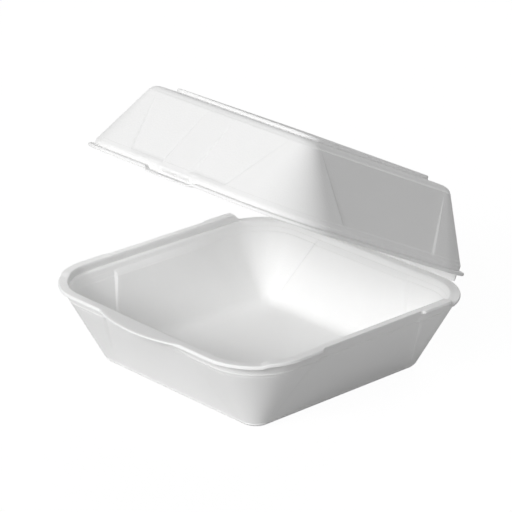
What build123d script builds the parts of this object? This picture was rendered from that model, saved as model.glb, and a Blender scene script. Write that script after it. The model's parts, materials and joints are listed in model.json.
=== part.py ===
from build123d import *
from math import sqrt
import os

# Hinged burger box pressed from one sheet of white foam: a tapered tray and a tapered lid.
# Millimetres, +Z up. The origin is the middle of the tray's underside, the hinge is at the back (+Y),
# the curved lip is at the front (-Y). The lid stands part open.

# Tray
rim_width = 140.0
rim_depth = 137.8
rim_corner_radius = 27.2
side_rim_height = 37.8
front_rim_drop = 0.75
hinge_drop = 3.4
floor_width = 97.8
floor_depth = 96.4
floor_corner_radius = 5.8
wall_foam = 3.4
floor_foam = 2.2
floor_outer_fillet = 2.6
floor_inner_fillet = 3.8

# Rim of the tray: a band above the wall, and a flange that stands out over the band
band_height = 4.5
band_inset = 1.35
band_shoulder = 0.9
wall_inset = 2.5
flange_thickness = 1.9
rail_width = 4.2
rail_edge_chamfer = 0.5
back_ramp_start = 44.5
back_ramp_length = 5.0
front_ramp_start = 56.0
front_ramp_length = 2.4

# Curved lip in the middle of the tray's front rim
lip_half_chord = 25.0
lip_bulge = 5.6
lip_thickness = 1.2

# Wall panels: pressed in at the rim end, running out to nothing at the far end
panel_depth = 0.9
panel_bevel = 1.9
panel_rim_half = 29.8
panel_far_gap = 0.7
inner_panel_drop = 1.9

# Lid, measured from the underside of its flange
lid_inset = 0.6
lid_corner_radius = 29.5
lid_height = 33.7
lid_flange_thickness = 1.4
lid_band_height = 4.4
lid_band_inset = 2.1
lid_band_shoulder = 0.7
lid_wall_inset = 2.9
top_width = 98.6
top_depth = 96.8
top_corner_radius = 6.0
top_outer_fillet = 2.6
platform_width = 85.6
platform_depth = 83.8
platform_corner_radius = 8.0
platform_rise = 1.75
strip_half_width = 8.0

# Tab in the middle of the lid's front rim, with a groove over it
tab_half_width = 14.0
tab_bulge = 3.0
tab_drop = 0.75
tab_thickness = 1.3
groove_depth = 0.8

# Hinge line along the back
hinge_length = 101.0
skirt_thickness = 1.1
crease_gap = 0.15
closing_gap = 0.3
open_angle = 26.7

# Length by which a cutting body reaches past the face that it cuts
overrun = 6.0


def plan(width, depth, radius, height):
    """Rounded rectangle about the origin at one height."""
    return Pos(0, 0, height) * RectangleRounded(width, depth, radius)


def taper(low, high):
    """Ruled body between two (width, depth, radius, height) outlines."""
    return loft([plan(*low), plan(*high)], ruled=True)


def prism(width, depth, radius, low, high):
    """Straight body with a rounded rectangular outline."""
    return extrude(plan(width, depth, radius, low), amount=high - low)


def between(low, high, height):
    """Outline of the tapered body at one height, carried on past its ends in a straight line."""
    share = (height - low[3]) / (high[3] - low[3])
    sizes = [a + (b - a) * share for a, b in zip(low[:3], high[:3])]
    return (*sizes, height)


def inset(outline, distance):
    """The same outline moved in on every side."""
    width, depth, radius, height = outline
    return (width - 2 * distance, depth - 2 * distance, radius - distance, height)


def run_through(low, high):
    """Length of a level line through a sheet of unit thickness that leans as the wall does."""
    run = (high[0] - low[0]) / 2
    rise = high[3] - low[3]
    return sqrt(run * run + rise * rise) / abs(rise)


def wedge(far, near, slope):
    """Wedge pressed into a wall, from (height, wall distance, left, right, depth) at each end.

    Its sides lean out by slope for each unit of depth, and it reaches past the wall by the overrun.
    """
    sections = []
    for height, wall, left, right, depth in (far, near):
        points = [
            (left - slope * overrun, -wall - overrun),
            (right + slope * overrun, -wall - overrun),
            (right - slope * depth, -wall + depth),
            (left + slope * depth, -wall + depth),
        ]
        sections.append(Pos(0, 0, height) * Polygon(*points, align=None))
    return loft(sections, ruled=True)


def arc_tongue(half_chord, bulge, edge, root, low, high):
    """Flat tongue with a circular front edge, standing out from a straight edge at -Y."""
    bow = ThreePointArc((-half_chord, -edge), (0, -edge - bulge), (half_chord, -edge))
    back = Polyline((half_chord, -edge), (half_chord, -root), (-half_chord, -root), (-half_chord, -edge))
    return extrude(Pos(0, 0, low) * make_face(bow + back), amount=high - low)


# Levels and outlines of the tray
hinge_level = side_rim_height - hinge_drop
front_rim_height = side_rim_height - front_rim_drop
band_foot = side_rim_height - band_height
side_flange_foot = side_rim_height - flange_thickness
front_flange_foot = front_rim_height - flange_thickness
rim = (rim_width, rim_depth, rim_corner_radius, side_rim_height)
floor_line = (floor_width, floor_depth, floor_corner_radius, 0)
wall_line = (*inset(rim, wall_inset)[:3], band_foot)
band_line = inset(rim, band_inset)
wall_through = wall_foam * run_through(floor_line, wall_line)
bevel_slope = panel_bevel / panel_depth

# Levels and outlines of the lid when it is closed
lid_level = side_rim_height + closing_gap
lid_rim = (rim_width - 2 * lid_inset, rim_depth - 2 * lid_inset, lid_corner_radius, lid_level)
lid_wall_line = (*inset(lid_rim, lid_wall_inset)[:3], lid_level + lid_band_height)
lid_band_line = inset(lid_rim, lid_band_inset)
top_line = (top_width, top_depth, top_corner_radius, lid_level + lid_height)
lid_through = wall_foam * run_through(lid_wall_line, top_line)
tab_level = lid_level - tab_drop
hinge_y = rim_depth / 2 - band_inset


def wall_distance(outline, turn):
    """Distance from the middle to the wall that faces -Y once the outline is turned back about Z."""
    return outline[0 if turn % 180 else 1] / 2


def flat_half(outline, turn):
    """Half of the straight stretch of the same wall."""
    return outline[1 if turn % 180 else 0] / 2 - outline[2]


def panel(far_line, near_line, turn, through):
    """Panel wedge on one wall, set in from the outside by the given distance."""
    far_wall = wall_distance(far_line, turn) - through
    near_wall = wall_distance(near_line, turn) - through
    far_half = flat_half(far_line, turn) - panel_far_gap
    body = wedge(
        (far_line[3], far_wall, -far_half, far_half, 0),
        (near_line[3], near_wall, -panel_rim_half, panel_rim_half, panel_depth),
        bevel_slope,
    )
    return Rot(0, 0, turn) * body


def split_panels(far_line, near_line, through):
    """The two panels of the lid's front wall, one each side of the middle strip."""
    far_wall = wall_distance(far_line, 0) - through
    near_wall = wall_distance(near_line, 0) - through
    far_half = flat_half(far_line, 0) - panel_far_gap
    right = wedge(
        (far_line[3], far_wall, strip_half_width, far_half, 0),
        (near_line[3], near_wall, strip_half_width, panel_rim_half, panel_depth),
        bevel_slope,
    )
    return [right, mirror(right, about=Plane.YZ)]


def tray_panels(through, front_end, back_end, side_end):
    """Panels of the tray's front, back, right and left walls, each up to its own height."""
    places = ((0, front_end), (180, back_end), (90, side_end), (270, side_end))
    return [panel(floor_line, between(floor_line, wall_line, end), turn, through) for turn, end in places]


def lid_panels(through):
    """Panels of the lid's four walls, two of them on the front."""
    sides = [panel(top_line, lid_wall_line, turn, through) for turn in (90, 180, 270)]
    return sides + split_panels(top_line, lid_wall_line, through)


def edges_at(body, height):
    """Edges that lie flat at one height."""
    return body.edges().filter_by_position(Axis.Z, height, height)


def back_cut():
    """Everything above the hinge level behind the side rails, with a ramp at their ends."""
    profile = Polyline(
        (back_ramp_start, side_rim_height),
        (back_ramp_start + back_ramp_length, hinge_level),
        (rim_depth, hinge_level),
        (rim_depth, side_rim_height + overrun),
        (back_ramp_start, side_rim_height + overrun),
        close=True,
    )
    return extrude(Plane.YZ * make_face(profile), amount=rim_width, both=True)


def front_cut():
    """The slice above the front rim, with a short ramp at the ends of the side rails."""
    profile = Polyline(
        (-front_ramp_start, side_rim_height),
        (-front_ramp_start - front_ramp_length, front_rim_height),
        (-rim_depth, front_rim_height),
        (-rim_depth, side_rim_height + overrun),
        (-front_ramp_start, side_rim_height + overrun),
        close=True,
    )
    return extrude(Plane.YZ * make_face(profile), amount=rim_width, both=True)


def front_block():
    """Everything in front of the ramps at the front ends of the side rails."""
    reach = rim_depth / 2 - front_ramp_start - front_ramp_length + overrun
    return Pos(0, -front_ramp_start - front_ramp_length, 0) * Box(
        2 * rim_width, reach, 2 * side_rim_height, align=(Align.CENTER, Align.MAX, Align.CENTER))


def rim_flange(low, high):
    """Flange all round the rim, with its outer edges broken."""
    flange = prism(*rim[:3], low, high)
    return chamfer(edges_at(flange, low) + edges_at(flange, high), rail_edge_chamfer)


def tray_cavity():
    """The hollow of the tray: inner walls up to the hinge level, and the wider space inside the rails."""
    low = inset(between(floor_line, wall_line, floor_foam), wall_through)
    high = inset(between(floor_line, wall_line, hinge_level), wall_through)
    hollow = taper(low, high)
    hollow = fillet(edges_at(hollow, floor_foam), floor_inner_fillet)
    inside_rails = inset(rim, rail_width)
    hollow += prism(*inside_rails[:3], hinge_level, side_rim_height + overrun)
    inner_end = band_foot - inner_panel_drop
    for body in tray_panels(wall_through, front_rim_height, inner_end, inner_end):
        hollow -= body
    return hollow


def make_base_tray():
    """Tray with its rim, side rails, front lip and back flange, all one sheet.

    The side panels run on up through the rim, so that the flange and band stand out at the corners only.
    """
    body = taper(floor_line, wall_line)
    body = fillet(edges_at(body, 0), floor_outer_fillet)
    shoulder_line = (*band_line[:3], band_foot + band_shoulder)
    body += taper(wall_line, shoulder_line)
    body += prism(*band_line[:3], band_foot + band_shoulder, side_rim_height)
    front_recess, back_recess, *side_recesses = tray_panels(0, front_flange_foot, band_foot, side_rim_height)
    body = body - front_recess - back_recess
    side_flange = rim_flange(side_flange_foot, side_rim_height) - back_cut() - front_cut()
    front_flange = rim_flange(front_flange_foot, front_rim_height) & front_block()
    body = body - back_cut() - front_cut() + side_flange + front_flange
    body += arc_tongue(
        lip_half_chord, lip_bulge, rim_depth / 2 - rail_edge_chamfer, rim_depth / 2 - rail_width,
        front_rim_height - lip_thickness, front_rim_height,
    )
    for recess in side_recesses:
        body -= recess
    return body - tray_cavity()


def lid_cavity():
    """The hollow of the lid: inside the band, the walls and the platform."""
    low = inset(between(lid_wall_line, top_line, lid_level - overrun), lid_through)
    high = inset(between(lid_wall_line, top_line, top_line[3] - floor_foam), lid_through)
    hollow = taper(low, high)
    under_platform = inset((platform_width, platform_depth, platform_corner_radius, 0), wall_foam)
    hollow += prism(*under_platform[:3], high[3] - floor_foam, high[3] + platform_rise)
    for body in lid_panels(lid_through):
        hollow -= body
    return hollow


def make_closed_lid():
    """Lid in its closed place: walls, top, platform, band, flange, tab and the skirt at the hinge."""
    body = taper(lid_wall_line, top_line)
    body = fillet(edges_at(body, top_line[3]), top_outer_fillet)
    for recess in lid_panels(0):
        body -= recess
    shoulder_line = (*lid_band_line[:3], lid_wall_line[3] - lid_band_shoulder)
    body += taper(shoulder_line, lid_wall_line)
    body += prism(*lid_band_line[:3], lid_level, shoulder_line[3])
    body += prism(*lid_rim[:3], lid_level, lid_level + lid_flange_thickness)
    body += prism(platform_width, platform_depth, platform_corner_radius, top_line[3] - floor_foam,
                  top_line[3] + platform_rise)
    body -= lid_cavity()
    front = lid_rim[1] / 2
    groove_floor = front - lid_band_inset - groove_depth
    groove_height = shoulder_line[3] - lid_level - lid_flange_thickness
    body -= Pos(0, -groove_floor, lid_level + lid_flange_thickness) * Box(
        2 * tab_half_width, overrun, groove_height, align=(Align.CENTER, Align.MAX, Align.MIN))
    body += arc_tongue(tab_half_width, tab_bulge, front, front - lid_band_inset, tab_level,
                       tab_level + tab_thickness)
    body += Pos(0, hinge_y, hinge_level + crease_gap) * Box(
        hinge_length, skirt_thickness, lid_level + lid_flange_thickness - hinge_level - crease_gap,
        align=(Align.CENTER, Align.MAX, Align.MIN))
    return body


def make_lid():
    """Lid turned about the hinge line to its open place."""
    hinge = Axis((0, hinge_y, hinge_level), (1, 0, 0))
    return make_closed_lid().rotate(hinge, -open_angle)


os.makedirs("parts", exist_ok=True)
export_step(make_base_tray(), "parts/base_tray.step")
export_step(make_lid(), "parts/lid.step")
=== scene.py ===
import json
import math

import bpy
import numpy as np
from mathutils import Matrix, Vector


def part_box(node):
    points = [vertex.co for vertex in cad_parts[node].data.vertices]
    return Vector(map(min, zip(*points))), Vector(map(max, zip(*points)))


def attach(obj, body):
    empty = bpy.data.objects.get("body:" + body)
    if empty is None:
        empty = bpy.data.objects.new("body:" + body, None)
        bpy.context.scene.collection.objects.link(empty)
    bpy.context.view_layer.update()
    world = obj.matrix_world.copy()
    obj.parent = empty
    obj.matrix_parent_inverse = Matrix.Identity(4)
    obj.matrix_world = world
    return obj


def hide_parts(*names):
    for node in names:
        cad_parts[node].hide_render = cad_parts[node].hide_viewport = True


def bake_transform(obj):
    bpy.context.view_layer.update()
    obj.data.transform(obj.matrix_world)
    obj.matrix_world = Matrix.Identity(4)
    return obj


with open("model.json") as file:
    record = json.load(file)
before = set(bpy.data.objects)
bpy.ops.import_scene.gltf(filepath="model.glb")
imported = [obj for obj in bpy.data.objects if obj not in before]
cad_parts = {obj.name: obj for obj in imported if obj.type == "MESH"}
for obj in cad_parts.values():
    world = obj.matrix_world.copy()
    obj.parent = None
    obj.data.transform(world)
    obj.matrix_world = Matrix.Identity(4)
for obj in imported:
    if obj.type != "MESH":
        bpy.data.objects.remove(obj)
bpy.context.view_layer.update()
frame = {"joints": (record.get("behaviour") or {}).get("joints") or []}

# Foam burger box: a tray and a lid pressed from one sheet, with a bending strip along the hinge.
# Metres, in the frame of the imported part: +Z up, the lip at -Y, the hinge at +Y.

MM = 0.001

# Sizes taken from the frame
tray_low, tray_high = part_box("base_tray")
hinge_joint = frame["joints"][0]
HINGE_Y = hinge_joint["pos_m"][1]
HINGE_LEVEL = hinge_joint["pos_m"][2]
OPEN_ANGLE = math.radians(-hinge_joint["range_deg"][0])
RIM_HALF_X = tray_high.x
RIM_HEIGHT = tray_high.z

# The hinge line is the tray's back edge, which lies inside the outline of its rim
BACK_INSET = 1.35 * MM
RIM_HALF_Y = HINGE_Y + BACK_INSET
LIP_BULGE = -tray_low.y - RIM_HALF_Y

# Sheet and its pressed wall panels. Inside the box, the hinge end of the side panels runs out softly.
FOAM = 3.4 * MM
FLOOR_FOAM = 2.2 * MM
PANEL_DEPTH = 0.9 * MM
PANEL_BEVEL = 1.9 * MM
PANEL_BEVEL_FAR = 0.5 * MM
PANEL_RIM_HALF = 29.8 * MM
PANEL_FAR_HALF = 42.2 * MM
PANEL_END = 1.3 * MM
PANEL_SOFT_END = 12 * MM
FRONT_PANEL_SHARE = 0.935

# Tray. An outline is a half width, a half depth and a corner radius.
RIM_RADIUS = 27.2 * MM
FRONT_DROP = 0.75 * MM
FLOOR = np.array([48.9, 48.2, 5.8]) * MM
BAND_HEIGHT = 6.6 * MM
BAND_SHOULDER = 0.3 * MM
BAND_FOOT_INSET = 3.5 * MM
BAND_TOP_INSET = 2.2 * MM
WALL_INSET = 3.67 * MM
FLANGE = 1.9 * MM
BACK_EDGE = 1.3 * MM
RAIL = 4.2 * MM
INNER_PANEL_END = (32.4 * MM, 30.6 * MM)
BACK_RAMP = (44.5 * MM, 49.5 * MM)
FRONT_RAMP = (56.0 * MM, 58.4 * MM)
LIP_HALF = 25 * MM
LIP_EDGE = 1.2 * MM
LIP_RUN = 3 * MM

# Bends of the tray's section, in the order of its corners: how far each reaches along its two sides
TRAY_BENDS = {
    "foot": 2.8 * MM,
    "panel end": 0.4 * MM,
    "wall end": 0.3 * MM,
    "band foot": 0.3 * MM,
    "band top": 0.4 * MM,
    "flange foot": 0.9 * MM,
    "flange top": 0.7 * MM,
    "rail top": 0.6 * MM,
    "rail foot": 0.5 * MM,
    "inner ledge": 0.5 * MM,
    "inner panel end": 0.4 * MM,
    "inner panel": 0.7 * MM,
    "inner floor": 4.2 * MM,
}

# Lid, measured from the underside of its flange when it is closed
CLOSING_GAP = 0.3 * MM
LID_INSET = 0.6 * MM
LID_RADIUS = 30.6 * MM
LID_HEIGHT = 33.7 * MM
LID_FLANGE = 1.4 * MM
LID_BAND_HEIGHT = 4.4 * MM
LID_BAND_INSET = 2.5 * MM
LID_BAND_SHOULDER = 0.68 * MM
LID_WALL_INSET = 2.9 * MM
LID_PANEL_DEPTH = 0.65 * MM
LID_PANEL_END = 1.7 * MM
TOP = np.array([49.3, 48.4, 6.0]) * MM
PLATFORM = np.array([42.8, 41.9, 8.0]) * MM
PLATFORM_RISE = 1.75 * MM
STRIP_HALF = 8 * MM
STRIP_BEVEL_LEAST = 0.1
TAB_HALF = 14 * MM
TAB_BULGE = 3 * MM
TAB_DROP = 0.75 * MM
TAB_EDGE = 0.9 * MM
TAB_RUN = 2.0 * MM
GROOVE_HALF = 11 * MM
GROOVE_DEPTH = 3.8 * MM
GROOVE_SHOULDER = 0.6 * MM
GROOVE_RUN = 3 * MM
SHOULDER_DROP_SHARE = 0.8

# Bends of the lid's section, in the order of its corners
LID_BENDS = {
    "platform top": 0.7 * MM,
    "platform foot": 0.6 * MM,
    "top edge": 2.8 * MM,
    "panel end": 0.8 * MM,
    "wall end": 0.8 * MM,
    "band shoulder": 1.1 * MM,
    "band foot": 0.8 * MM,
    "flange top": 0.5 * MM,
    "flange foot": 0.5 * MM,
    "inner rim": 0.6 * MM,
    "inner band": 0.4 * MM,
    "inner top": 2.4 * MM,
    "inner platform foot": 0.6 * MM,
    "inner platform top": 0.6 * MM,
}

# Bending strip along the hinge
HINGE_LENGTH = 101 * MM
HINGE_THICKNESS = 1.1 * MM
HINGE_CREASE = 0.5 * MM
HINGE_ROOT = 0.25 * MM
HINGE_TOP_SHARE = 0.9
HINGE_THICKENING = 3 * HINGE_THICKNESS
HINGE_ROUNDING = 0.35
HINGE_END = 0.4 * MM
HINGE_END_SHARE = 0.75
HINGE_POINTS = 40
HINGE_STATIONS = 60

# Camera, from the straight edges of the box in the photograph
CAMERA_AZIMUTH = 47.403
CAMERA_ELEVATION = 22.068
CAMERA_DISTANCE = 1.246724
CAMERA_LENS = 196.85
CAMERA_TARGET = Vector((-0.037061, 0.031479, 0.029885))


# Profiles: rows of channels along the sheet's section

CHANNELS = ("half_x", "half_y", "radius", "height", "size", "mark", "side_mark", "tongue", "thin", "press",
            "front_press", "side_press", "groove", "soft_end")
PLAIN = {"size": 1.0, "mark": PANEL_RIM_HALF, "side_mark": PANEL_RIM_HALF}


def corner(outline, height, **channels):
    """One corner of a profile: a rounded rectangle (half width, half depth, corner radius) at a height.

    size is 1, or 0 on the axis. mark is the half width of the wall panel at that place, and side_mark that of
    a side wall's. tongue and thin are the shares in which the lip or tab and its thinner edge act there, and
    groove is how far the groove over the tab pushes the corner in. press, front_press and side_press are how
    far the panel's plane lies behind the corner, and soft_end is how far a side panel runs out at its hinge end.
    """
    extra = PLAIN | channels
    return np.array([*outline, height, *[extra.get(name, 0.0) for name in CHANNELS[4:]]])


def on_axis(height):
    """The outline shrunk to a point on the axis, which closes the surface."""
    return corner((0, 0, 0), height, size=0.0, mark=0.0, side_mark=0.0)


# Rows of a profile: shares of a long and of a short straight side, and of a bend
LONG_RUN = np.array([0, 0.01, 0.05, 0.15, 0.3, 0.5, 0.7, 0.85, 0.95, 0.99])
SHORT_RUN = np.array([0, 0.15, 0.5, 0.85])
BEND = np.linspace(0, 1, 6)[:, None]
MOST_OF_SIDE = 0.49
SHORTEST_SIDE = 1e-9


def rounded(corners, bends, long_runs):
    """Profile through the corners.

    Each inner corner is replaced by a parabola whose tangent length is its bend, cut to just under half of the
    shorter neighbouring side. Straight sides are sampled closer at their ends; long_runs numbers the long ones.
    """
    corners = np.array(corners)
    steps = np.diff(corners, axis=0)
    lengths = np.maximum(np.hypot(steps[:, 0], steps[:, 3]), SHORTEST_SIDE)
    rows = []
    leave = corners[0]
    for i, bend in enumerate(bends):
        reach = min(bend, MOST_OF_SIDE * lengths[i], MOST_OF_SIDE * lengths[i + 1])
        enter = corners[i + 1] - steps[i] * reach / lengths[i]
        run = LONG_RUN if i in long_runs else SHORT_RUN
        rows.append(leave + (enter - leave) * run[:, None])
        leave = corners[i + 1] + steps[i + 1] * reach / lengths[i + 1]
        rows.append((1 - BEND) ** 2 * enter + 2 * BEND * (1 - BEND) * corners[i + 1] + BEND ** 2 * leave)
    rows.append(leave + (corners[-1] - leave) * np.append(LONG_RUN, 1)[:, None])
    return np.vstack(rows)


def named(rows):
    """The channels of a profile by name, each with the rows first."""
    return dict(zip(CHANNELS, np.moveaxis(rows, -1, 0)))


class Wall:
    """Straight sloping wall between a far outline (floor or top) and the outline at its rim end."""

    def __init__(self, far, far_height, near, near_height, panel_depth):
        self.far, self.far_height = far, far_height
        self.near, self.near_height = near, near_height
        self.panel_depth = panel_depth
        lean = math.hypot(near[0] - far[0], near_height - far_height)
        self.through = FOAM * lean / abs(near_height - far_height)

    def share(self, height):
        """Share of the way from the far end to the rim end."""
        return (height - self.far_height) / (self.near_height - self.far_height)

    def at(self, height, inside=False, panel=True):
        """Corner on the wall's outer or inner face at a height, carried on past the ends in a straight line."""
        share = self.share(height)
        outline = self.far + (self.near - self.far) * share - self.through * inside
        mark = PANEL_FAR_HALF + (PANEL_RIM_HALF - PANEL_FAR_HALF) * min(share, 1)
        press = self.panel_depth * share * panel
        up = height / RIM_HEIGHT
        side_mark = mark if inside else PANEL_FAR_HALF + (PANEL_RIM_HALF - PANEL_FAR_HALF) * up
        side_press = press if inside else self.panel_depth * up
        return corner(outline, height, mark=mark, side_mark=side_mark, press=press,
                      front_press=self.panel_depth * share, side_press=side_press, soft_end=PANEL_SOFT_END * inside)

    def behind(self, outline, height):
        """How far the front and side panels' planes, carried on to this height, lie behind a corner of the rim."""
        panel = self.at(height)
        front = outline[1] - panel[1] + self.panel_depth * self.share(height)
        side = outline[0] - panel[0] + self.panel_depth * height / RIM_HEIGHT
        return front, side


# Columns: where the sheet's section is carried round the box

def eased(share):
    """Smooth step from 0 to 1."""
    share = np.clip(share, 0, 1)
    return share * share * (3 - 2 * share)


def ramp(place, start_end):
    """Smooth step along a stretch of places."""
    return eased((place - start_end[0]) / (start_end[1] - start_end[0]))


# Walls in the order in which they are passed, and their outward directions
FRONT, RIGHT, BACK, LEFT = range(4)
QUARTERS = np.array([(0, -1), (1, 0), (0, 1), (-1, 0)], float)

# Places round a corner, closer near its ends, where the side rails ramp down to the hinge
CORNER_END = 0.24
CORNER_SHARES = np.concatenate([
    np.linspace(0, CORNER_END, 21)[1:],
    np.linspace(CORNER_END, 1 - CORNER_END, 17)[1:-1],
    np.linspace(1 - CORNER_END, 1, 21)[:-1],
])

# Columns across a panel, its bevel, and the plain end of its wall
PANEL_COLUMNS = 24
BEVEL_COLUMNS = 8
END_COLUMNS = 6

# A column lies on a straight wall where its normal's part along an axis is past this
STRAIGHT = 0.999999


def go_round(profile, walls):
    """Columns round the box, counter-clockwise from the left end of the front wall.

    walls holds, for each wall, its marks (distances along the wall, by row), how many columns lie between
    neighbouring marks, and the panel's share at each mark. A wall's column keeps its place between two marks;
    a corner's columns stand about the centre of its arc. Returns the centre of the outline's rounding for
    every row and column, and the outward normal and the panel's share for every column.
    """
    flat = np.stack([profile["half_x"] - profile["radius"], profile["half_y"] - profile["radius"]], axis=-1)
    centres, normals, panels = [], [], []
    for turn, (marks, counts, levels) in enumerate(walls):
        outward, sideways = QUARTERS[turn], QUARTERS[(turn + 1) % 4]
        segment = np.append(np.repeat(np.arange(len(counts)), counts), len(counts) - 1)
        share = np.append(np.concatenate([np.arange(n) / n for n in counts]), 1.0)
        marks, levels = np.stack(marks, axis=-1), np.array(levels, float)
        along = marks[:, segment] * (1 - share) + marks[:, segment + 1] * share
        centres.append(along[..., None] * sideways + (flat * np.abs(outward)).sum(1)[:, None, None] * outward)
        normals.append(np.tile(outward, (len(segment), 1)))
        panels.append(levels[segment] + (levels[segment + 1] - levels[segment]) * eased(share))
        angle = CORNER_SHARES[:, None] * math.pi / 2
        arc_centre = flat * (outward + sideways)
        centres.append(np.repeat(arc_centre[:, None], len(CORNER_SHARES), axis=1))
        normals.append(np.cos(angle) * outward + np.sin(angle) * sideways)
        panels.append(np.zeros(len(CORNER_SHARES)))
    return np.concatenate(centres, axis=1), np.concatenate(normals), np.concatenate(panels)


def panel_wall(profile, turn, outer, inner_marks=(), inner_counts=(PANEL_COLUMNS,), inner_levels=()):
    """Marks of a wall with a panel: its ends, the panel's outer and inner edges, and marks within the panel.

    The marks lie the same way on both sides of the wall's middle, apart from the soft hinge end of a side
    panel. inner_counts are the columns over the middle, and then those between one inner mark and the next.
    """
    flat = profile["half_y" if turn % 2 else "half_x"] - profile["radius"]
    near = np.clip((PANEL_FAR_HALF * profile["size"] - outer) / (PANEL_FAR_HALF - PANEL_RIM_HALF), 0, 1)
    inner = outer - (PANEL_BEVEL_FAR + (PANEL_BEVEL - PANEL_BEVEL_FAR) * near) * profile["size"]
    soft = inner - profile["soft_end"]
    first_half = [*inner_marks, soft if turn == LEFT else inner, outer, flat]
    second_half = [*inner_marks, soft if turn == RIGHT else inner, outer, flat]
    marks = [-mark for mark in first_half[::-1]] + second_half
    levels = [*inner_levels, 1, 0, 0]
    counts = [*inner_counts[1:], BEVEL_COLUMNS, END_COLUMNS]
    return marks, counts[::-1] + [inner_counts[0]] + counts, levels[::-1] + levels


def bow(place, half_chord, bulge):
    """Circular arc over a chord: how far it stands out at each place, and zero past the chord's ends."""
    radius = (half_chord ** 2 + bulge ** 2) / (2 * bulge)
    inside = np.minimum(np.abs(place), half_chord)
    return np.sqrt(radius ** 2 - inside ** 2) - (radius - bulge)


def shell(name, points, outside_first):
    """Closed mesh of a grid of points: rows from pole to pole, columns round the axis.

    The first and last rows are one point each. Columns join up into rings, and neighbouring rings into quads.
    """
    rows, columns = points.shape[:2]
    vertices = np.vstack([points[0, :1], points[1:-1].reshape(-1, 3), points[-1, :1]])
    here = np.arange(columns)
    there = np.roll(here, -1)
    start = 1 + columns * np.arange(rows - 3)[:, None]
    quads = np.stack([start + here, start + there, start + columns + there, start + columns + here], axis=-1)
    last_ring = 1 + columns * (rows - 3)
    first_fan = np.stack([0 * here, 1 + there, 1 + here], axis=-1)
    last_fan = np.stack([0 * here + len(vertices) - 1, last_ring + here, last_ring + there], axis=-1)
    faces = [*quads.reshape(-1, 4).tolist(), *first_fan.tolist(), *last_fan.tolist()]
    if not outside_first:
        faces = [face[::-1] for face in faces]
    mesh = bpy.data.meshes.new(name)
    mesh.from_pydata(vertices.tolist(), [], faces)
    mesh.polygons.foreach_set("use_smooth", np.ones(len(faces), bool))
    mesh.update()
    piece = bpy.data.objects.new(name, mesh)
    bpy.context.scene.collection.objects.link(piece)
    return piece


# Tray

def tray_profiles():
    """Sections of the tray over a side wall, the front wall and the back wall, with the same rows.

    Each goes from the middle of the underside out, up the wall, over the rim, and down inside to the middle
    of the floor.
    """
    rim = np.array([RIM_HALF_X, RIM_HALF_Y, RIM_RADIUS])
    band_foot = RIM_HEIGHT - BAND_HEIGHT
    wall = Wall(FLOOR, 0.0, rim - WALL_INSET, band_foot, PANEL_DEPTH)

    def rim_corner(inset, height, inside=False, **channels):
        """A corner of the rim, which outside is cut through by the front and side panels' planes."""
        outline = rim - inset
        front_press, side_press = (0.0, 0.0) if inside else wall.behind(outline, height)
        return corner(outline, height, front_press=front_press, side_press=side_press, **channels)

    def edge_corner(inset, height, **channels):
        """A corner of the flange's edge, which the side panels' planes cut through."""
        outline = rim - inset
        _, side_press = wall.behind(outline, height)
        return corner(outline, height, side_press=side_press, tongue=1.0, **channels)

    def section(top, flange_foot, edge_inset):
        """Section whose rim has its top at one level, and a flange edge at one inset."""
        corners = [
            on_axis(0.0),
            wall.at(0.0),
            wall.at(band_foot - PANEL_END),
            wall.at(band_foot, panel=False),
            rim_corner(BAND_FOOT_INSET, band_foot + BAND_SHOULDER),
            rim_corner(BAND_TOP_INSET, flange_foot, thin=1.0),
            edge_corner(edge_inset, flange_foot, thin=1.0),
            edge_corner(edge_inset, top),
            rim_corner(RAIL, top, inside=True),
            rim_corner(RAIL, HINGE_LEVEL, inside=True),
            wall.at(HINGE_LEVEL, inside=True, panel=False),
            wall.at(INNER_PANEL_END[0], inside=True, panel=False),
            wall.at(INNER_PANEL_END[1], inside=True),
            wall.at(FLOOR_FOAM, inside=True),
            on_axis(FLOOR_FOAM),
        ]
        return rounded(corners, TRAY_BENDS.values(), long_runs=(0, 1, 12))

    front_top = RIM_HEIGHT - FRONT_DROP
    side = section(RIM_HEIGHT, RIM_HEIGHT - FLANGE, edge_inset=0.0)
    front = section(front_top, front_top - FLANGE, edge_inset=0.0)
    back = section(HINGE_LEVEL, HINGE_LEVEL - BACK_EDGE, edge_inset=BACK_INSET)
    return np.stack([side, front, back])


def make_tray():
    """Tray: the side, front and back sections are mixed column by column, by the place along the rim.

    A point is the centre of its outline's rounding, plus the normal times the rounding's radius. A pressed
    panel takes its depth off that radius, and the lip adds a circular bow to the flange edge.
    """
    sections = tray_profiles()
    side = named(sections[0])
    lip_mark = side["mark"] * (LIP_HALF / PANEL_RIM_HALF)
    walls = [
        panel_wall(side, FRONT, side["mark"] * FRONT_PANEL_SHARE,
                   inner_marks=[lip_mark], inner_counts=(48, 3), inner_levels=[1]),
        panel_wall(side, RIGHT, side["side_mark"]),
        panel_wall(side, BACK, side["mark"]),
        panel_wall(side, LEFT, side["side_mark"]),
    ]
    centre, normal, panel = go_round(side, walls)
    rim_row = np.argmax(side["tongue"])
    rim_place = centre[rim_row] + normal * RIM_RADIUS
    back = ramp(rim_place[:, 1], BACK_RAMP)
    front = ramp(-rim_place[:, 1], FRONT_RAMP)
    mix = np.stack([1 - back - front, front, back])
    profile = named(np.einsum("sc,srk->rck", mix, sections))

    front_wall = normal[:, 1] < -STRAIGHT
    across = rim_place[:, 0]
    lip = bow(across, LIP_HALF, LIP_BULGE) * front_wall
    thinner = (FLANGE - LIP_EDGE) * eased((LIP_HALF - np.abs(across)) / LIP_RUN) * front_wall
    side_wall = np.abs(normal[:, 0]) > STRAIGHT
    side_or_back = np.where(side_wall, profile["side_press"], profile["press"])
    press = np.where(front_wall, profile["front_press"], side_or_back) * panel
    reach = profile["radius"] - press + profile["tongue"] * lip
    height = profile["height"] + profile["thin"] * thinner
    points = np.dstack([centre + normal * reach[..., None], height])
    return shell("tray_shell", points, outside_first=True)


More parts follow.
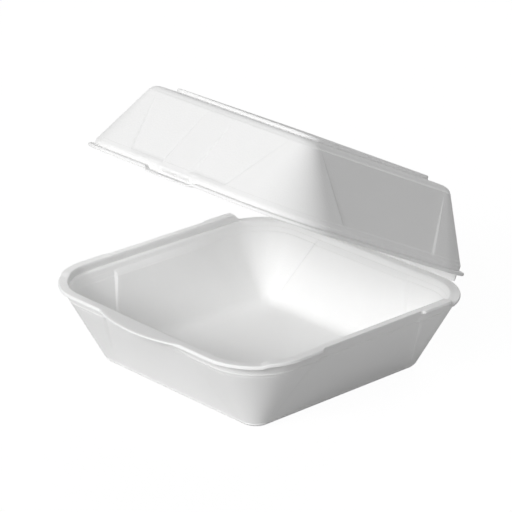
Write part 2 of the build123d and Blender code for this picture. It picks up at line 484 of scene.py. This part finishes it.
# Lid

def lid_profile():
    """Section of the closed lid: from the middle of its top out, down the wall, round the flange and up inside."""
    level = RIM_HEIGHT + CLOSING_GAP
    rim = np.array([RIM_HALF_X, RIM_HALF_Y, LID_RADIUS + LID_INSET]) - LID_INSET
    band_top = level + LID_BAND_HEIGHT
    top = level + LID_HEIGHT
    inner_top = top - FLOOR_FOAM
    platform_top = top + PLATFORM_RISE
    wall = Wall(TOP, top, rim - LID_WALL_INSET, band_top, LID_PANEL_DEPTH)
    platform_mark = PLATFORM[0] - PLATFORM[2] - PANEL_BEVEL

    def inner_corner(height, panel=True):
        """A corner on the inner face beside the groove, which pushes it in."""
        place = wall.at(height, inside=True, panel=panel)
        place[CHANNELS.index("groove")] = GROOVE_DEPTH
        return place

    corners = [
        on_axis(platform_top),
        corner(PLATFORM, platform_top, mark=platform_mark),
        corner(PLATFORM, top, mark=platform_mark),
        wall.at(top),
        wall.at(band_top + LID_PANEL_END),
        wall.at(band_top, panel=False),
        corner(rim - LID_BAND_INSET, band_top - LID_BAND_SHOULDER, groove=-GROOVE_SHOULDER,
               thin=SHOULDER_DROP_SHARE),
        corner(rim - LID_BAND_INSET, level + LID_FLANGE, groove=GROOVE_DEPTH, thin=1.0),
        corner(rim, level + LID_FLANGE, tongue=1.0, thin=1.0),
        corner(rim, level, tongue=1.0),
        inner_corner(level, panel=False),
        inner_corner(band_top),
        wall.at(inner_top, inside=True),
        corner(PLATFORM - FOAM, inner_top, mark=platform_mark),
        corner(PLATFORM - FOAM, platform_top - FLOOR_FOAM, mark=platform_mark),
        on_axis(platform_top - FLOOR_FOAM),
    ]
    return named(rounded(corners, LID_BENDS.values(), long_runs=(0, 3, 11)))


def turned_open(points):
    """Points of the closed lid turned about the hinge line to where the lid stands."""
    y, z = points[..., 1] - HINGE_Y, points[..., 2] - HINGE_LEVEL
    cos, sin = math.cos(OPEN_ANGLE), math.sin(OPEN_ANGLE)
    return np.stack([points[..., 0], HINGE_Y + y * cos + z * sin, HINGE_LEVEL - y * sin + z * cos], axis=-1)


def make_lid():
    """Lid: one section carried round, with its panels, tab and groove, then turned open about the hinge line.

    A point is the centre of its outline's rounding, plus the normal times the rounding's radius. Panels and
    groove take their depth off that radius, and the tab adds a circular bow and lowers the flange there.
    """
    profile = lid_profile()
    strip = STRIP_HALF * profile["size"]
    pressed = np.clip(profile["press"] / LID_PANEL_DEPTH, STRIP_BEVEL_LEAST, 1)
    strip_edge = strip + PANEL_BEVEL * pressed * profile["size"]
    tab_mark = TAB_HALF * profile["size"]
    front = panel_wall(profile, FRONT, profile["mark"], inner_marks=[strip, strip_edge, tab_mark],
                       inner_counts=(16, 12, 12, 16), inner_levels=[0, 1, 1])
    walls = [front] + [panel_wall(profile, turn, profile["mark"]) for turn in (RIGHT, BACK, LEFT)]
    centre, normal, panel = go_round(profile, walls)
    rim_row = np.argmax(profile["tongue"])
    across = centre[rim_row, :, 0]
    front_wall = normal[:, 1] < -STRAIGHT
    tab = eased((TAB_HALF + TAB_RUN / 2 - np.abs(across)) / TAB_RUN) * front_wall
    tab_bow = bow(across, TAB_HALF, TAB_BULGE) * front_wall
    groove = eased((GROOVE_HALF - np.abs(across)) / GROOVE_RUN) * front_wall
    press = profile["press"][:, None] * panel + profile["groove"][:, None] * groove
    reach = profile["radius"][:, None] - press + profile["tongue"][:, None] * tab_bow
    lowered = np.maximum(profile["tongue"], profile["thin"]) * TAB_DROP + profile["thin"] * (LID_FLANGE - TAB_EDGE)
    height = profile["height"][:, None] - lowered[:, None] * tab
    points = np.dstack([centre + normal * reach[..., None], height])
    return shell("lid_shell", turned_open(points), outside_first=False)


# Hinge strip

def make_hinge_strip():
    """Strip of the sheet between the tray's back flange and the lid: a section carried along the hinge line.

    The section is a flat bar that stands on the crease, thin there and thicker above, with rounded corners:
    a superellipse in thickness and height. Its ends are closed by shrinking the section to a point.
    """
    low = HINGE_LEVEL - HINGE_ROOT
    high = RIM_HEIGHT + CLOSING_GAP + LID_FLANGE * HINGE_TOP_SHARE
    angle = np.linspace(0, 2 * math.pi, HINGE_POINTS, endpoint=False)
    side = np.sign(np.cos(angle)) * np.abs(np.cos(angle)) ** HINGE_ROUNDING
    rise = np.sign(np.sin(angle)) * np.abs(np.sin(angle)) ** HINGE_ROUNDING
    height = (low + high) / 2 + rise * (high - low) / 2
    grown = eased((height - low) / HINGE_THICKENING)
    thickness = HINGE_CREASE + (HINGE_THICKNESS - HINGE_CREASE) * grown
    depth = HINGE_Y - thickness / 2 + side * thickness / 2
    half = HINGE_LENGTH / 2
    full = np.linspace(-half + HINGE_END, half - HINGE_END, HINGE_STATIONS)
    place = np.concatenate([[-half, -half], full, [half, half]])
    grow = np.concatenate([[0, HINGE_END_SHARE], np.ones(HINGE_STATIONS), [HINGE_END_SHARE, 0]])[:, None]
    middle_y, middle_z = HINGE_Y - HINGE_THICKNESS / 2, (low + high) / 2
    points = np.stack([
        np.repeat(place[:, None], len(angle), axis=1),
        middle_y + (depth - middle_y) * grow,
        middle_z + (height - middle_z) * grow,
    ], axis=-1)
    return shell("hinge_strip", turned_open(points), outside_first=False)


# Finish

def foam_finish():
    """White pressed foam: a matte skin with faint closed cells, cloudy thickness and a soft dimpled relief."""
    material = bpy.data.materials.new("white_foam")
    material.use_nodes = True
    nodes, links = material.node_tree.nodes, material.node_tree.links
    skin = nodes["Principled BSDF"]
    skin.inputs["IOR"].default_value = 1.45
    skin.inputs["Specular IOR Level"].default_value = 0.0
    place = nodes.new("ShaderNodeTexCoord")

    def texture(kind, **values):
        """Texture node on the object's own coordinates."""
        node = nodes.new(kind)
        links.new(place.outputs["Object"], node.inputs["Vector"])
        for name, value in values.items():
            node.inputs[name].default_value = value
        return node

    cells = texture("ShaderNodeTexVoronoi", Scale=1100.0)
    clouds = texture("ShaderNodeTexNoise", Scale=60.0, Detail=3.0)
    grain = texture("ShaderNodeTexNoise", Scale=900.0, Detail=2.0)

    tint = nodes.new("ShaderNodeMix")
    tint.data_type = "RGBA"
    tint.inputs["A"].default_value = (0.93, 0.93, 0.927, 1)
    tint.inputs["B"].default_value = (0.95, 0.95, 0.947, 1)
    links.new(clouds.outputs["Fac"], tint.inputs["Factor"])
    links.new(tint.outputs["Result"], skin.inputs["Base Color"])

    gloss = nodes.new("ShaderNodeMapRange")
    gloss.inputs["To Min"].default_value = 0.5
    gloss.inputs["To Max"].default_value = 0.68
    links.new(grain.outputs["Fac"], gloss.inputs["Value"])
    links.new(gloss.outputs["Result"], skin.inputs["Roughness"])

    dimples = nodes.new("ShaderNodeBump")
    dimples.inputs["Strength"].default_value = 0.12
    dimples.inputs["Distance"].default_value = 0.0002
    links.new(cells.outputs["Distance"], dimples.inputs["Height"])
    links.new(dimples.outputs["Normal"], skin.inputs["Normal"])
    return material


# Stage

STAGE_HALF = 3.0
STAGE_WHITE = 0.95
STAGE_BOUNCE = 0.55
STAGE_GLOW = 1.03
STAGE_GLOW_SHARE = 0.93


def seen_by_camera(nodes, links):
    """Socket that is 1 for rays from the camera and for reflected and transmitted rays, else 0."""
    path = nodes.new("ShaderNodeLightPath")
    either = nodes.new("ShaderNodeMath")
    either.operation = "MAXIMUM"
    links.new(path.outputs["Is Camera Ray"], either.inputs[0])
    links.new(path.outputs["Is Glossy Ray"], either.inputs[1])
    any_of = nodes.new("ShaderNodeMath")
    any_of.operation = "MAXIMUM"
    links.new(either.outputs[0], any_of.inputs[0])
    links.new(path.outputs["Is Transmission Ray"], any_of.inputs[1])
    return any_of.outputs[0]


def make_floor():
    """Pale floor: near white to the camera and in reflections, with the object's shadow, and a softer bounce."""
    half = STAGE_HALF
    mesh = bpy.data.meshes.new("floor")
    mesh.from_pydata([(-half, -half, 0), (half, -half, 0), (half, half, 0), (-half, half, 0)], [], [(0, 1, 2, 3)])
    floor = bpy.data.objects.new("floor", mesh)
    bpy.context.scene.collection.objects.link(floor)
    material = bpy.data.materials.new("pale_floor")
    material.use_nodes = True
    nodes, links = material.node_tree.nodes, material.node_tree.links
    skin = nodes["Principled BSDF"]
    skin.inputs["Roughness"].default_value = 0.9
    skin.inputs["Specular IOR Level"].default_value = 0.0
    seen = seen_by_camera(nodes, links)
    tone = nodes.new("ShaderNodeMix")
    tone.data_type = "RGBA"
    tone.inputs["A"].default_value = (STAGE_BOUNCE, STAGE_BOUNCE, STAGE_BOUNCE, 1)
    tone.inputs["B"].default_value = (STAGE_WHITE, STAGE_WHITE, STAGE_WHITE, 1)
    links.new(seen, tone.inputs["Factor"])
    links.new(tone.outputs["Result"], skin.inputs["Base Color"])
    glow = nodes.new("ShaderNodeEmission")
    glow.inputs["Strength"].default_value = STAGE_GLOW
    part = nodes.new("ShaderNodeMath")
    part.operation = "MULTIPLY"
    part.inputs[1].default_value = STAGE_GLOW_SHARE
    links.new(seen, part.inputs[0])
    blend = nodes.new("ShaderNodeMixShader")
    links.new(part.outputs[0], blend.inputs["Fac"])
    links.new(skin.outputs["BSDF"], blend.inputs[1])
    links.new(glow.outputs["Emission"], blend.inputs[2])
    links.new(blend.outputs["Shader"], nodes["Material Output"].inputs["Surface"])
    mesh.materials.append(material)


def make_light(name, direction, distance, size, power):
    """Square soft light that shines on the box from a direction."""
    data = bpy.data.lights.new(name, "AREA")
    data.energy = power
    data.size = size
    lamp = bpy.data.objects.new(name, data)
    towards = Vector(direction).normalized()
    lamp.location = towards * distance
    lamp.rotation_mode = "QUATERNION"
    lamp.rotation_quaternion = (-towards).to_track_quat("-Z", "Y")
    bpy.context.scene.collection.objects.link(lamp)


def make_world(strength):
    """Even white surroundings; the camera sees them as white."""
    world = bpy.data.worlds.new("studio")
    world.use_nodes = True
    nodes, links = world.node_tree.nodes, world.node_tree.links
    background = nodes["Background"]
    background.inputs["Color"].default_value = (1, 1, 1, 1)
    level = nodes.new("ShaderNodeMapRange")
    level.inputs["To Min"].default_value = strength
    level.inputs["To Max"].default_value = 1.0
    links.new(seen_by_camera(nodes, links), level.inputs["Value"])
    links.new(level.outputs["Result"], background.inputs["Strength"])
    bpy.context.scene.world = world


def make_camera():
    """Camera at the photograph's angle, looking at its target."""
    data = bpy.data.cameras.new("camera")
    data.lens = CAMERA_LENS
    data.sensor_width = 36.0
    data.clip_end = 10.0
    camera = bpy.data.objects.new("camera", data)
    azimuth, elevation = math.radians(CAMERA_AZIMUTH), math.radians(CAMERA_ELEVATION)
    back = Vector((
        math.cos(elevation) * math.sin(azimuth), -math.cos(elevation) * math.cos(azimuth), math.sin(elevation)))
    camera.location = CAMERA_TARGET + back * CAMERA_DISTANCE
    camera.rotation_mode = "QUATERNION"
    camera.rotation_quaternion = (-back).to_track_quat("-Z", "Y")
    bpy.context.scene.collection.objects.link(camera)
    bpy.context.scene.camera = camera


foam = foam_finish()
tray = make_tray()
lid = make_lid()
strip = make_hinge_strip()
for piece in (tray, lid, strip):
    piece.data.materials.append(foam)
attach(tray, "tray")
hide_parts("base_tray")
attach(lid, "lid")
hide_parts("lid")
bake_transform(strip)

make_floor()
make_world(strength=0.13)
make_light("key_light", direction=(0.0, -0.88, 0.47), distance=4.5, size=1.6, power=82.0)
make_light("front_right_light", direction=(0.32, -0.76, 0.56), distance=3.5, size=2.4, power=54.0)
make_light("front_low_light", direction=(-0.2, -0.96, 0.2), distance=3.5, size=2.4, power=8.0)
make_light("right_fill_light", direction=(0.94, 0.4, 0.1), distance=0.5, size=0.35, power=0.25)
make_light("back_light", direction=(-0.4, 0.7, 0.6), distance=3.5, size=2.4, power=42.0)
make_camera()
bpy.context.scene.view_settings.view_transform = "Standard"
